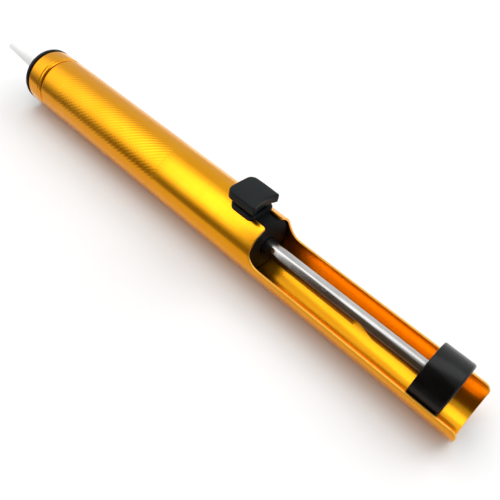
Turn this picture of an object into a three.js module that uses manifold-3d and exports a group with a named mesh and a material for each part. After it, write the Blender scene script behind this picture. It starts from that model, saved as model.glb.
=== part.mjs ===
// Spring-loaded desoldering pump, in millimetres: +X towards the nozzle, +Z towards the trigger.
// The origin is under the middle of the pump, on the surface that the barrel lies on.

import * as THREE from 'three';
import { mergeVertices } from 'three/addons/utils/BufferGeometryUtils.js';
import Module from 'manifold-3d';

const wasm = await Module();
wasm.setup();

// ---- Driving dimensions ----------------------------------------------------------------------
// Places along the pump are distances behind a datum plane, 1 mm behind the front of the holder's
// flange. Heights are above the pump's axis.

const OVERALL_LENGTH = 196.8;
const NOZZLE_REACH = 25;
const BARREL_RADIUS = 9.5;
const BARREL_WALL = 0.7;
const BORE_RADIUS = BARREL_RADIUS - BARREL_WALL;
const FACETS = 36;
const SMALL_FACETS = 20;
const RING_FACETS = 24;
const GAP = 0.3;
const CLOSE_GAP = 0.1;
// How far a cutting shape runs on past what it cuts.
const PAST = 1;

const BARREL_START = 7.9;
const BARREL_END = OVERALL_LENGTH - NOZZLE_REACH;
const EDGE_BREAK = 0.25;
const SEAM_CHAMFER = { length: 0.7, depth: 0.4 };

const SHOULDER = 105;
const SHOULDER_CURVE = 4.6;
const TRAY_EDGE = -0.3;
const TAIL_CORNER = 2.2;
const SLOT_HALF_WIDTH = 3.3;
const SLOT_START = 92;

const FLANGE_FACE = -1;
const FLANGE_THICKNESS = 1.2;
const FLANGE_RADIUS = BARREL_RADIUS;
const FLANGE_ROUNDING = 0.4;
const HOLDER_RADIUS = 6.95;
const HOLDER_END = 12.5;
const HOLDER_BOSS_RADIUS = 5.2;
const HOLDER_BOSS_FACE = FLANGE_FACE - 2.4;
const HOLDER_MOUTH_RADIUS = 2.6;
const SOCKET_RADIUS = 3.65;
const SOCKET_END = 9.5;
const HOLDER_GROOVE = { start: 6.4, end: 7.9, radius: 5.75 };
const HOLDER_SEAL = { radius: 6.4, thickness: 0.5 };

const COLLAR_START = FLANGE_FACE + FLANGE_THICKNESS + GAP;
const COLLAR_END = BARREL_START - GAP;
const COLLAR_ROUNDING = 1;
const NECK_RADIUS = 8.4;
const NECK_END = 12;
const THREAD_BORE_RADIUS = HOLDER_RADIUS + GAP;
const COLLAR_GROOVE = { start: 9.2, end: 10.5, radius: 7.7 };
const COLLAR_SEAL = { radius: 8.2, thickness: 0.42 };

const NOZZLE_TIP_RADIUS = 1.5;
const NOZZLE_HOLE_RADIUS = 1;
const NOZZLE_NECK_RADIUS = 2.2;
const NOZZLE_NECK_AT = -13;
const NOZZLE_FOOT_RADIUS = 3.1;
const NOZZLE_SHANK_RADIUS = SOCKET_RADIUS - GAP;
const NOZZLE_END = SOCKET_END - GAP;
const NOZZLE_MOUTH_RADIUS = 2.2;
const NOZZLE_THROAT_RADIUS = 1.3;

const STROKE = 40.5;
const ROD_RADIUS = 2.4;
const ROD_THREAD_RADIUS = 1.5;
const ROD_START = 70.4;
const ROD_SHOULDER = 82.35;
const ROD_END = 163.6;
const ROD_TIP_HOLE = { radius: 0.85, depth: 3.5 };
const NOTCH_WALL = 136.8;
const NOTCH_FLOOR = 1.3;
const NOTCH_LENGTH = 6.7;
const NOTCH_DEPTH = 1.45;
const NOTCH_TURN = THREE.MathUtils.degToRad(132);

const PIN_RADIUS = 0.6;
const PIN_PAST_TIP = 2;
const PIN_START = STROKE - NOZZLE_REACH - PIN_PAST_TIP;
const PIN_END = ROD_START + ROD_TIP_HOLE.depth - GAP;
const PIN_POINT = 1.5;
const PIN_FACETS = 10;

const PISTON_START = 74.6;
const PISTON_END = ROD_SHOULDER - CLOSE_GAP;
const PISTON_RADIUS = 8.45;
const PISTON_BORE_RADIUS = ROD_THREAD_RADIUS + 0.2;
const PISTON_GROOVE = { start: 77.2, end: 79.4, radius: 6.75 };
const PISTON_SEAL = { radius: 7.75, thickness: 0.85 };
const NUT_START = 71.4;
const NUT_THICKNESS = 2.2;
const NUT_ACROSS_FLATS = 5.5;
const WASHER_START = 73.85;
const WASHER_THICKNESS = 0.5;
const WASHER_RADIUS = 3.6;

const KNOB_START = 157.15;
const KNOB_END = 165.9;
const KNOB_RADIUS = 8.45;
const KNOB_CHAMFER = 0.5;

const MAIN_SPRING_STEPS = 12;
const TRIGGER_SPRING_STEPS = 10;
const MAIN_SPRING = {
  start: HOLDER_END + GAP,
  end: PISTON_START - GAP,
  radius: 6.35,
  wire: 0.5,
  turns: 15,
};
const TRIGGER_SPRING = { bottom: -7.55, top: -4.55, radius: 1.45, wire: 0.2, turns: 4.5 };

const BUMPER = { start: 82.7, end: 84.8, radius: 7.8, hole: 2.9 };

const BLOCK_START = 85.1;
const BLOCK_END = 104.4;
const BLOCK_RADIUS = 8.5;
const ROD_GUIDE_RADIUS = ROD_RADIUS + 0.25;
const HEAD_START = 92.2;
const HEAD_END = 101;
const HEAD_HALF_WIDTH = 4.75;
const HEAD_CORNER = 1.9;
const HEAD_TOP = 9.85;
const NECK_HALF_WIDTH = SLOT_HALF_WIDTH - GAP;
const NECK_FLOOR = 5.4;

const TRIGGER_TRAVEL = 1.3;
const PAD_START = 90.8;
const PAD_END = 101.5;
const PAD_HALF_WIDTH = 5.2;
const PAD_CORNER = 2.2;
const PAD_HOLLOW = 1.1;
const PAD_BOTTOM = HEAD_TOP + TRIGGER_TRAVEL + CLOSE_GAP;
const PAD_TOP = 14.2;
const PAD_BEVEL = 0.4;
const STEM = { start: 94.7, end: 99.7, halfWidth: 1.8, bottom: 5.6 };

const LATCH_START = 96.9;
const LATCH_THICKNESS = 1;
const LATCH_HALF_WIDTH = 4.2;
const LATCH_TOP = 5.2;
const LATCH_BOTTOM = -4.3;
const LATCH_CORNER = 1.2;
const LATCH_EYE_RADIUS = ROD_RADIUS + 0.25;
const TONGUE_HALF_WIDTH = 1.1;
const TONGUE_TOP = 7.8;

const SCREW_AT = 101.8;
const SCREW_HEAD_RADIUS = 1.95;
const SCREW_SHANK_RADIUS = 1.1;
const SCREW_TOP = -4.2;
const SCREW_FACE = -9.3;
const SCREW_CONE = 0.6;
const DRIVER_SLOT = { halfWidth: 0.3, depth: 0.4 };

const DATUM_X = OVERALL_LENGTH / 2 - NOZZLE_REACH;
const HALF_FACET = Math.PI / FACETS;
const AXIS_HEIGHT = BARREL_RADIUS * Math.cos(HALF_FACET);

// ---- Materials -------------------------------------------------------------------------------

const finish = (color, roughness, metalness) => ({ color, roughness, metalness });
const GOLD_ANODISED = finish(0xe0a21c, 0.3, 0.9);
const BLACK_PLASTIC = finish(0x1c1f20, 0.45, 0);
const WHITE_PTFE = finish(0xf1f0ec, 0.5, 0);
const CHROMED_STEEL = finish(0xc9cbcd, 0.15, 1);
const SPRING_STEEL = finish(0x9b9ea2, 0.3, 1);
const ZINC_STEEL = finish(0xb4b7ba, 0.35, 1);
const BLACK_RUBBER = finish(0x141414, 0.85, 0);
const WHITE_NYLON = finish(0xd9d6cc, 0.55, 0);

// ---- Shaping helpers -------------------------------------------------------------------------

// X of a place that lies the given distance behind the datum plane.
const at = (behind) => DATUM_X - behind;

// One closed body: shared corners merged, and no triangle that has shrunk to a line.
function closed(geometry) {
  geometry.deleteAttribute('normal');
  geometry.deleteAttribute('uv');
  const merged = mergeVertices(geometry, 1e-4);
  const corners = merged.index.array;
  const kept = [];
  for (let i = 0; i < corners.length; i += 3) {
    const [a, b, c] = corners.slice(i, i + 3);
    if (a !== b && b !== c && c !== a) kept.push(a, b, c);
  }
  merged.setIndex(kept);
  return merged;
}

function solid(geometry) {
  const body = closed(geometry);
  const vertProperties = new Float32Array(body.attributes.position.array);
  const triVerts = new Uint32Array(body.index.array);
  return new wasm.Manifold(new wasm.Mesh({ numProp: 3, vertProperties, triVerts }));
}

function surface(body) {
  const { numProp, vertProperties, triVerts } = body.getMesh();
  const geometry = new THREE.BufferGeometry();
  const points = [];
  for (let i = 0; i < vertProperties.length; i += numProp) {
    points.push(vertProperties[i], vertProperties[i + 1], vertProperties[i + 2]);
  }
  geometry.setAttribute('position', new THREE.Float32BufferAttribute(points, 3));
  geometry.setIndex([...triVerts]);
  return geometry;
}

// A body turned on the pump's axis. The profile is a list of [distance behind, radius].
// It runs down the outside from front to rear, and comes back along the bore if there is one.
// A flat facet faces straight down.
function turned(profile, facets = FACETS) {
  const outline = profile.map(([behind, radius]) => new THREE.Vector2(radius, at(behind)));
  const onAxis = profile[0][1] === 0;
  if (!onAxis) outline.push(outline[0].clone());
  const geometry = new THREE.LatheGeometry(outline.reverse(), facets, Math.PI / facets);
  return closed(geometry.rotateZ(-Math.PI / 2));
}

// Points of a rounded edge on a turned profile, from one angle to another, in degrees.
function rounding(behind, radius, size, from, to, steps = 3) {
  const points = [];
  for (let i = 0; i <= steps; i += 1) {
    const angle = THREE.MathUtils.degToRad(from + ((to - from) * i) / steps);
    points.push([behind + size * Math.cos(angle), radius + size * Math.sin(angle)]);
  }
  return points;
}

// The quarter round where a front face meets the outside of a turned body.
function roundedFront(face, radius, size) {
  return rounding(face + size, radius - size, size, 180, 90);
}

// A seal that lies in the middle of a groove.
function ring(groove, { radius, thickness }) {
  const middle = (groove.start + groove.end) / 2;
  return turned(rounding(middle, radius, thickness, 180, -135, 7), RING_FACETS);
}

// A side-view outline in X and Z, given thickness along Y about the middle plane.
function sideCut(shape, width) {
  const options = { depth: width, bevelEnabled: false, curveSegments: 8 };
  const geometry = new THREE.ExtrudeGeometry(shape, options);
  return geometry.rotateX(Math.PI / 2).translate(0, width / 2, 0);
}

// A plan-view outline in X and Y, standing from one height to another.
function upright(shape, bottom, top, curveSegments = 6) {
  const options = { depth: top - bottom, bevelEnabled: false, curveSegments };
  const geometry = new THREE.ExtrudeGeometry(shape, options);
  return geometry.translate(0, 0, bottom);
}

function block(start, end, halfWidth, bottom, top) {
  const geometry = new THREE.BoxGeometry(end - start, 2 * halfWidth, top - bottom);
  return geometry.translate(at((start + end) / 2), 0, (bottom + top) / 2);
}

// A round peg or hole standing along Z, from a list of [height, radius] that starts at the bottom.
function peg(behind, levels) {
  const outline = [[levels[0][0], 0], ...levels, [levels.at(-1)[0], 0]];
  const points = outline.map(([height, radius]) => new THREE.Vector2(radius, height));
  const geometry = new THREE.LatheGeometry(points, SMALL_FACETS);
  return geometry.rotateX(Math.PI / 2).translate(at(behind), 0, 0);
}

function roundedRectangle(startX, endX, halfWidth, corner) {
  const shape = new THREE.Shape();
  shape.moveTo(startX + corner, -halfWidth);
  shape.lineTo(endX - corner, -halfWidth);
  shape.absarc(endX - corner, -halfWidth + corner, corner, -Math.PI / 2, 0);
  shape.lineTo(endX, halfWidth - corner);
  shape.absarc(endX - corner, halfWidth - corner, corner, 0, Math.PI / 2);
  shape.lineTo(startX + corner, halfWidth);
  shape.absarc(startX + corner, halfWidth - corner, corner, Math.PI / 2, Math.PI);
  shape.lineTo(startX, -halfWidth + corner);
  shape.absarc(startX + corner, -halfWidth + corner, corner, Math.PI, 1.5 * Math.PI);
  return shape;
}

// Centre line of a coil spring about the local X axis, with one closed turn at each end.
class CoilCurve extends THREE.Curve {
  constructor(length, radius, wire, turns) {
    super();
    Object.assign(this, { length, radius, wire, turns });
    this.arcLengthDivisions = Math.ceil(turns * 60);
  }

  getPoint(t, target = new THREE.Vector3()) {
    const turn = t * this.turns;
    const closedPitch = 2.3 * this.wire;
    const openPitch = (this.length - 2 * closedPitch) / (this.turns - 2);
    const first = Math.min(turn, 1);
    const last = Math.max(turn - (this.turns - 1), 0);
    const x = closedPitch * (first + last) + openPitch * (turn - first - last);
    const angle = 2 * Math.PI * turn;
    return target.set(x, this.radius * Math.sin(angle), this.radius * Math.cos(angle));
  }
}

function coil(length, { radius, wire, turns }, stepsPerTurn) {
  const section = new THREE.Shape();
  section.absarc(0, 0, wire, 0, 2 * Math.PI);
  const path = new CoilCurve(length - 2 * wire, radius, wire, turns);
  const steps = Math.round(turns * stepsPerTurn);
  const options = { steps, extrudePath: path, curveSegments: 3, bevelEnabled: false };
  return closed(new THREE.ExtrudeGeometry(section, options).translate(wire, 0, 0));
}

// ---- Pieces ----------------------------------------------------------------------------------

const pump = new THREE.Group();
pump.position.z = AXIS_HEIGHT;

function add(name, geometry, look) {
  const mesh = new THREE.Mesh(geometry, new THREE.MeshStandardMaterial(look));
  mesh.name = name;
  pump.add(mesh);
  return mesh;
}

// The barrel is a tube whose rear part is milled away above the axis, leaving an open trough.
// A slot runs forward from the milled shoulder for the trigger.
function barrel() {
  const tube = turned([
    [BARREL_START, BARREL_RADIUS - SEAM_CHAMFER.depth],
    [BARREL_START + SEAM_CHAMFER.length, BARREL_RADIUS],
    [BARREL_END, BARREL_RADIUS],
    [BARREL_END, BORE_RADIUS],
    [BARREL_START, BORE_RADIUS],
  ]);
  const above = 2 * BARREL_RADIUS;
  const beyond = at(BARREL_END + BARREL_RADIUS);
  const opening = new THREE.Shape();
  opening.moveTo(at(SHOULDER), above);
  opening.lineTo(beyond, above);
  const cornerZ = TRAY_EDGE - TAIL_CORNER;
  opening.lineTo(beyond, cornerZ);
  opening.lineTo(at(BARREL_END), cornerZ);
  opening.absarc(at(BARREL_END - TAIL_CORNER), cornerZ, TAIL_CORNER, Math.PI, Math.PI / 2, true);
  const curveX = at(SHOULDER + SHOULDER_CURVE);
  const curveZ = TRAY_EDGE + SHOULDER_CURVE;
  opening.absarc(curveX, curveZ, SHOULDER_CURVE, 1.5 * Math.PI, 2 * Math.PI);
  const slot = block(SLOT_START, SHOULDER + PAST, SLOT_HALF_WIDTH, 0, above);
  const holeRadius = SCREW_HEAD_RADIUS + GAP;
  const screwHole = peg(SCREW_AT, [
    [-BARREL_RADIUS - PAST, holeRadius],
    [-BORE_RADIUS + PAST, holeRadius],
  ]);
  const cut = solid(sideCut(opening, 4 * BARREL_RADIUS)).add(solid(slot)).add(solid(screwHole));
  return surface(solid(tube).subtract(cut));
}
add('barrel', barrel(), GOLD_ANODISED);

// The front collar screws into the barrel and carries the nozzle holder.
const frontCollar = turned([
  [COLLAR_START, THREAD_BORE_RADIUS],
  ...roundedFront(COLLAR_START, BARREL_RADIUS, COLLAR_ROUNDING),
  [COLLAR_END - SEAM_CHAMFER.length, BARREL_RADIUS],
  [COLLAR_END, BARREL_RADIUS - SEAM_CHAMFER.depth],
  [COLLAR_END, NECK_RADIUS],
  [COLLAR_GROOVE.start, NECK_RADIUS],
  [COLLAR_GROOVE.start, COLLAR_GROOVE.radius],
  [COLLAR_GROOVE.end, COLLAR_GROOVE.radius],
  [COLLAR_GROOVE.end, NECK_RADIUS],
  [NECK_END, NECK_RADIUS],
  [NECK_END, THREAD_BORE_RADIUS],
]);
add('front_collar', frontCollar, GOLD_ANODISED);
add('collar_seal', ring(COLLAR_GROOVE, COLLAR_SEAL), BLACK_RUBBER);

// The nozzle holder is a black plug with a flange in front of the collar.
const nozzleHolder = turned([
  [HOLDER_BOSS_FACE, SOCKET_RADIUS],
  [HOLDER_BOSS_FACE, HOLDER_BOSS_RADIUS - EDGE_BREAK],
  [HOLDER_BOSS_FACE + EDGE_BREAK, HOLDER_BOSS_RADIUS],
  [FLANGE_FACE, HOLDER_BOSS_RADIUS],
  ...roundedFront(FLANGE_FACE, FLANGE_RADIUS, FLANGE_ROUNDING),
  [FLANGE_FACE + FLANGE_THICKNESS, FLANGE_RADIUS],
  [FLANGE_FACE + FLANGE_THICKNESS, HOLDER_RADIUS],
  [HOLDER_GROOVE.start, HOLDER_RADIUS],
  [HOLDER_GROOVE.start, HOLDER_GROOVE.radius],
  [HOLDER_GROOVE.end, HOLDER_GROOVE.radius],
  [HOLDER_GROOVE.end, HOLDER_RADIUS],
  [HOLDER_END, HOLDER_RADIUS],
  [HOLDER_END, HOLDER_MOUTH_RADIUS],
  [SOCKET_END, HOLDER_MOUTH_RADIUS],
  [SOCKET_END, SOCKET_RADIUS],
]);
add('nozzle_holder', nozzleHolder, BLACK_PLASTIC);
add('holder_seal', ring(HOLDER_GROOVE, HOLDER_SEAL), BLACK_RUBBER);

// The nozzle is a tapered PTFE tip with a straight shank in the holder's socket.
const nozzle = turned([
  [-NOZZLE_REACH, NOZZLE_HOLE_RADIUS],
  [-NOZZLE_REACH, NOZZLE_TIP_RADIUS - EDGE_BREAK / 2],
  [-NOZZLE_REACH + EDGE_BREAK, NOZZLE_TIP_RADIUS],
  [NOZZLE_NECK_AT, NOZZLE_NECK_RADIUS],
  [HOLDER_BOSS_FACE, NOZZLE_FOOT_RADIUS],
  [HOLDER_BOSS_FACE, NOZZLE_SHANK_RADIUS],
  [NOZZLE_END, NOZZLE_SHANK_RADIUS],
  [NOZZLE_END, NOZZLE_MOUTH_RADIUS],
  [HOLDER_BOSS_FACE, NOZZLE_THROAT_RADIUS],
], SMALL_FACETS);
add('nozzle', nozzle, WHITE_PTFE);

// The main spring stands between the nozzle holder and the piston.
const mainSpring = coil(MAIN_SPRING.end - MAIN_SPRING.start, MAIN_SPRING, MAIN_SPRING_STEPS);
add('main_spring', mainSpring, SPRING_STEEL).position.x = at(MAIN_SPRING.end);

// The piston, its seal, and the nut and washer that hold it on the rod.
const piston = turned([
  [PISTON_START, PISTON_BORE_RADIUS],
  [PISTON_START, PISTON_RADIUS - EDGE_BREAK],
  [PISTON_START + EDGE_BREAK, PISTON_RADIUS],
  [PISTON_GROOVE.start, PISTON_RADIUS],
  [PISTON_GROOVE.start, PISTON_GROOVE.radius],
  [PISTON_GROOVE.end, PISTON_GROOVE.radius],
  [PISTON_GROOVE.end, PISTON_RADIUS],
  [PISTON_END - EDGE_BREAK, PISTON_RADIUS],
  [PISTON_END, PISTON_RADIUS - EDGE_BREAK],
  [PISTON_END, PISTON_BORE_RADIUS],
]);
add('piston', piston, WHITE_NYLON);
add('piston_seal', ring(PISTON_GROOVE, PISTON_SEAL), BLACK_RUBBER);

const pistonWasher = turned([
  [WASHER_START, PISTON_BORE_RADIUS],
  [WASHER_START, WASHER_RADIUS],
  [WASHER_START + WASHER_THICKNESS, WASHER_RADIUS],
  [WASHER_START + WASHER_THICKNESS, PISTON_BORE_RADIUS],
], SMALL_FACETS);
add('piston_washer', pistonWasher, ZINC_STEEL);

function hexNut() {
  const corner = NUT_ACROSS_FLATS / 2 / Math.cos(Math.PI / 6);
  const end = NUT_START + NUT_THICKNESS;
  const blank = turned([[NUT_START, 0], [NUT_START, corner], [end, corner], [end, 0]], 6);
  const bore = PISTON_BORE_RADIUS;
  const hole = turned([[0, 0], [0, bore], [BLOCK_END, bore], [BLOCK_END, 0]], SMALL_FACETS);
  return surface(solid(blank).subtract(solid(hole)));
}
add('piston_nut', hexNut(), ZINC_STEEL);

// The rod carries the piston in front and the knob behind, and has one saw-tooth latch notch.
function plungerRod() {
  const bar = turned([
    [ROD_START, ROD_TIP_HOLE.radius],
    [ROD_START, ROD_THREAD_RADIUS - EDGE_BREAK],
    [ROD_START + EDGE_BREAK, ROD_THREAD_RADIUS],
    [ROD_SHOULDER, ROD_THREAD_RADIUS],
    [ROD_SHOULDER, ROD_RADIUS],
    [ROD_END, ROD_RADIUS],
    [ROD_END, ROD_TIP_HOLE.radius],
  ], SMALL_FACETS);
  const plugStart = ROD_START + ROD_TIP_HOLE.depth;
  const plug = turned([
    [plugStart, 0],
    [plugStart, ROD_THREAD_RADIUS - CLOSE_GAP],
    [ROD_END, ROD_THREAD_RADIUS - CLOSE_GAP],
    [ROD_END, 0],
  ], SMALL_FACETS);
  const tooth = new THREE.Shape();
  tooth.moveTo(at(NOTCH_WALL + NOTCH_FLOOR), ROD_RADIUS - NOTCH_DEPTH);
  tooth.lineTo(at(NOTCH_WALL), ROD_RADIUS - NOTCH_DEPTH);
  tooth.lineTo(at(NOTCH_WALL), ROD_RADIUS + PAST);
  tooth.lineTo(at(NOTCH_WALL + NOTCH_LENGTH), ROD_RADIUS + PAST);
  tooth.lineTo(at(NOTCH_WALL + NOTCH_LENGTH), ROD_RADIUS);
  const notch = sideCut(tooth, 4 * ROD_RADIUS).rotateX(-NOTCH_TURN);
  return surface(solid(bar).add(solid(plug)).subtract(solid(notch)));
}
add('plunger_rod', plungerRod(), CHROMED_STEEL);

const cleaningPin = turned([
  [PIN_START, 0],
  [PIN_START + PIN_POINT, PIN_RADIUS],
  [PIN_END, PIN_RADIUS],
  [PIN_END, 0],
], PIN_FACETS);
add('cleaning_pin', cleaningPin, SPRING_STEEL);

// The thumb knob is a plain disc, bored from the front for the rod's end.
const knobBore = ROD_RADIUS + CLOSE_GAP;
const plungerKnob = turned([
  [ROD_END + GAP, 0],
  [ROD_END + GAP, knobBore],
  [KNOB_START, knobBore],
  [KNOB_START, KNOB_RADIUS - EDGE_BREAK],
  [KNOB_START + EDGE_BREAK, KNOB_RADIUS],
  [KNOB_END - KNOB_CHAMFER, KNOB_RADIUS],
  [KNOB_END, KNOB_RADIUS - KNOB_CHAMFER],
  [KNOB_END, 0],
]);
add('plunger_knob', plungerKnob, BLACK_PLASTIC);

// A soft ring takes the piston's blow against the guide block.
const bumperRing = turned([
  [BUMPER.start, BUMPER.hole],
  [BUMPER.start, BUMPER.radius],
  [BUMPER.end, BUMPER.radius],
  [BUMPER.end, BUMPER.hole],
]);
add('bumper_ring', bumperRing, BLACK_RUBBER);

// The guide block fills the barrel. Its head stands through the slot and laps over the barrel.
function guideBlock() {
  const plug = turned([
    [BLOCK_START, ROD_GUIDE_RADIUS],
    [BLOCK_START, BLOCK_RADIUS],
    [BLOCK_END, BLOCK_RADIUS],
    [BLOCK_END, ROD_GUIDE_RADIUS],
  ]);
  const lapRadius = BARREL_RADIUS + GAP / 2;
  const barrelRoom = turned([[0, 0], [0, lapRadius], [BARREL_END, lapRadius], [BARREL_END, 0]]);
  const outline = roundedRectangle(at(HEAD_END), at(HEAD_START), HEAD_HALF_WIDTH, HEAD_CORNER);
  const head = solid(upright(outline, 0, HEAD_TOP)).subtract(solid(barrelRoom));
  const neck = solid(block(SLOT_START + GAP, HEAD_END, NECK_HALF_WIDTH, NECK_FLOOR, HEAD_TOP));
  const body = solid(plug).add(head).add(neck);

  const stemFloor = STEM.bottom - TRIGGER_TRAVEL - GAP;
  const stemRoom = block(STEM.start - GAP, STEM.end + GAP, STEM.halfWidth + GAP, stemFloor, PAD_TOP);
  const latchFloor = LATCH_BOTTOM - TRIGGER_TRAVEL - GAP;
  const latchEnd = LATCH_START + LATCH_THICKNESS + GAP;
  const latchRoomWidth = LATCH_HALF_WIDTH + GAP;
  const latchRoom = block(LATCH_START - GAP, latchEnd, latchRoomWidth, latchFloor, LATCH_TOP + GAP);
  const springAt = LATCH_START + LATCH_THICKNESS / 2;
  const springRoomRadius = TRIGGER_SPRING.radius + TRIGGER_SPRING.wire + GAP;
  const springFloor = TRIGGER_SPRING.bottom - GAP;
  const springRoom = peg(springAt, [[springFloor, springRoomRadius], [LATCH_BOTTOM, springRoomRadius]]);
  const shankRoom = SCREW_SHANK_RADIUS + GAP;
  const screwRoom = peg(SCREW_AT, [
    [-BARREL_RADIUS, SCREW_HEAD_RADIUS + GAP],
    [-BLOCK_RADIUS, SCREW_HEAD_RADIUS + GAP],
    [-BLOCK_RADIUS + SCREW_CONE + GAP, shankRoom],
    [SCREW_TOP + GAP, shankRoom],
  ]);
  const rooms = [stemRoom, latchRoom, springRoom, screwRoom].map(solid);
  return surface(rooms.reduce((left, room) => left.subtract(room), body));
}
add('guide_block', guideBlock(), BLACK_PLASTIC);

// A countersunk screw holds the guide block from below.
function blockScrew() {
  const body = peg(SCREW_AT, [
    [SCREW_FACE, SCREW_HEAD_RADIUS],
    [-BLOCK_RADIUS - GAP, SCREW_HEAD_RADIUS],
    [-BLOCK_RADIUS + SCREW_CONE, SCREW_SHANK_RADIUS],
    [SCREW_TOP, SCREW_SHANK_RADIUS],
  ]);
  const slotStart = SCREW_AT - DRIVER_SLOT.halfWidth;
  const slotEnd = SCREW_AT + DRIVER_SLOT.halfWidth;
  const slotTop = SCREW_FACE + DRIVER_SLOT.depth;
  const driverSlot = block(slotStart, slotEnd, BARREL_RADIUS, -BARREL_RADIUS - PAST, slotTop);
  return surface(solid(body).subtract(solid(driverSlot)));
}
add('block_screw', blockScrew(), ZINC_STEEL);

// The trigger button is a thumb pad with a hollow rear edge, on a stem with a slot for the latch.
function triggerButton() {
  const front = at(PAD_START) - PAD_BEVEL;
  const rear = at(PAD_END) + PAD_BEVEL;
  const side = PAD_HALF_WIDTH - PAD_BEVEL;
  const corner = PAD_CORNER - PAD_BEVEL;
  const outline = new THREE.Shape();
  outline.moveTo(rear, -side);
  outline.lineTo(front - corner, -side);
  outline.absarc(front - corner, -side + corner, corner, -Math.PI / 2, 0);
  outline.lineTo(front, side - corner);
  outline.absarc(front - corner, side - corner, corner, 0, Math.PI / 2);
  outline.lineTo(rear, side);
  outline.quadraticCurveTo(rear + 2 * PAD_HOLLOW, 0, rear, -side);
  const pad = new THREE.ExtrudeGeometry(outline, {
    depth: PAD_TOP - PAD_BOTTOM - 2 * PAD_BEVEL,
    bevelThickness: PAD_BEVEL,
    bevelSize: PAD_BEVEL,
    bevelSegments: 2,
    curveSegments: 8,
  });
  pad.translate(0, 0, PAD_BOTTOM + PAD_BEVEL);
  const stem = block(STEM.start, STEM.end, STEM.halfWidth, STEM.bottom, PAD_BOTTOM + PAD_BEVEL);
  const slotEnd = LATCH_START + LATCH_THICKNESS + 2 * CLOSE_GAP;
  const slotHalfWidth = TONGUE_HALF_WIDTH + 2 * CLOSE_GAP;
  const slot = block(LATCH_START - 2 * CLOSE_GAP, slotEnd, slotHalfWidth, 0, TONGUE_TOP + GAP);
  return surface(solid(pad).add(solid(stem)).subtract(solid(slot)));
}
add('trigger_button', triggerButton(), BLACK_PLASTIC);

// The latch plate hangs from the stem. The rod runs through its eye, whose lower edge catches the notch.
function latchPlate() {
  const plate = new THREE.Shape();
  plate.moveTo(-LATCH_HALF_WIDTH + LATCH_CORNER, LATCH_BOTTOM);
  plate.lineTo(LATCH_HALF_WIDTH - LATCH_CORNER, LATCH_BOTTOM);
  plate.lineTo(LATCH_HALF_WIDTH, LATCH_BOTTOM + LATCH_CORNER);
  plate.lineTo(LATCH_HALF_WIDTH, LATCH_TOP);
  plate.lineTo(TONGUE_HALF_WIDTH, LATCH_TOP);
  plate.lineTo(TONGUE_HALF_WIDTH, TONGUE_TOP);
  plate.lineTo(-TONGUE_HALF_WIDTH, TONGUE_TOP);
  plate.lineTo(-TONGUE_HALF_WIDTH, LATCH_TOP);
  plate.lineTo(-LATCH_HALF_WIDTH, LATCH_TOP);
  plate.lineTo(-LATCH_HALF_WIDTH, LATCH_BOTTOM + LATCH_CORNER);
  const eye = new THREE.Path();
  const lowerCentre = LATCH_EYE_RADIUS - ROD_RADIUS - CLOSE_GAP;
  eye.absarc(0, lowerCentre + TRIGGER_TRAVEL, LATCH_EYE_RADIUS, 0, Math.PI);
  eye.absarc(0, lowerCentre, LATCH_EYE_RADIUS, Math.PI, 2 * Math.PI);
  plate.holes.push(eye);
  const options = { depth: LATCH_THICKNESS, bevelEnabled: false, curveSegments: 8 };
  const geometry = new THREE.ExtrudeGeometry(plate, options);
  return closed(geometry.rotateX(Math.PI / 2).rotateZ(Math.PI / 2));
}
add('latch_plate', latchPlate(), ZINC_STEEL).position.x = at(LATCH_START + LATCH_THICKNESS);

const triggerCoil = coil(TRIGGER_SPRING.top - TRIGGER_SPRING.bottom, TRIGGER_SPRING, TRIGGER_SPRING_STEPS);
const triggerSpring = add('trigger_spring', triggerCoil, SPRING_STEEL);
triggerSpring.rotation.y = -Math.PI / 2;
triggerSpring.position.set(at(LATCH_START + LATCH_THICKNESS / 2), 0, TRIGGER_SPRING.bottom);

export default pump;
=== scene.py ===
import math

import bmesh
import bpy
import numpy as np
from mathutils import Matrix, Vector


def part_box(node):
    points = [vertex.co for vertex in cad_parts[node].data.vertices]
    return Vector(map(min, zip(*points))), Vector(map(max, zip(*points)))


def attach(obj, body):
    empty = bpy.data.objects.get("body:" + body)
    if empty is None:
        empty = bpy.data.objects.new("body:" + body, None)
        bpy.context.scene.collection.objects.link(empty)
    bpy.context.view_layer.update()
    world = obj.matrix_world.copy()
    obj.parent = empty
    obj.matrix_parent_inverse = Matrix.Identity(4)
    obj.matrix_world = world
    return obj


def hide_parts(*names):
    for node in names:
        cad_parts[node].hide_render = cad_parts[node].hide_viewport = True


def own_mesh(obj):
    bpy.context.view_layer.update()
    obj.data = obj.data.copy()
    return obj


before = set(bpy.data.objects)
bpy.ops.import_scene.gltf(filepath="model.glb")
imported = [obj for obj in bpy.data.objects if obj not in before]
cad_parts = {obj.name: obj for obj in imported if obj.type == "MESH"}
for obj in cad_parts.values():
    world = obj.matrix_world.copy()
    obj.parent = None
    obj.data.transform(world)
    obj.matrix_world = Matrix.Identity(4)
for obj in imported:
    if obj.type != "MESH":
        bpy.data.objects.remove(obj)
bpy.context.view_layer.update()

# ---- Dimensions, in millimetres -------------------------------------------------------------
# Places along the pump are distances behind a datum plane, which is 1 mm behind the front of the
# nozzle holder's flange. Heights are above the pump's axis. at() and place() turn them into the
# frame's metres.

MM = 0.001
NOZZLE_REACH = 25.0
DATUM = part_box("nozzle")[1].x - NOZZLE_REACH * MM
AXIS_Z = (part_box("nozzle")[0].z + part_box("nozzle")[1].z) / 2

TUBE_RADIUS = 9.5
TUBE_BORE = 8.8
TUBE_START = 7.82
TUBE_END = 171.8
TRAY_EDGE = -0.3
SHOULDER = 105.0
SHOULDER_CURVE = 4.6
TAIL_CORNER = 2.2
SLOT_START = 92.0
SLOT_HALF_WIDTH = 3.3
SLOT_CORNER = 0.8
RIM_ROUNDING = 0.13
SEAM_DEPTH = 0.4
SEAM_LENGTH = 0.7

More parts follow.
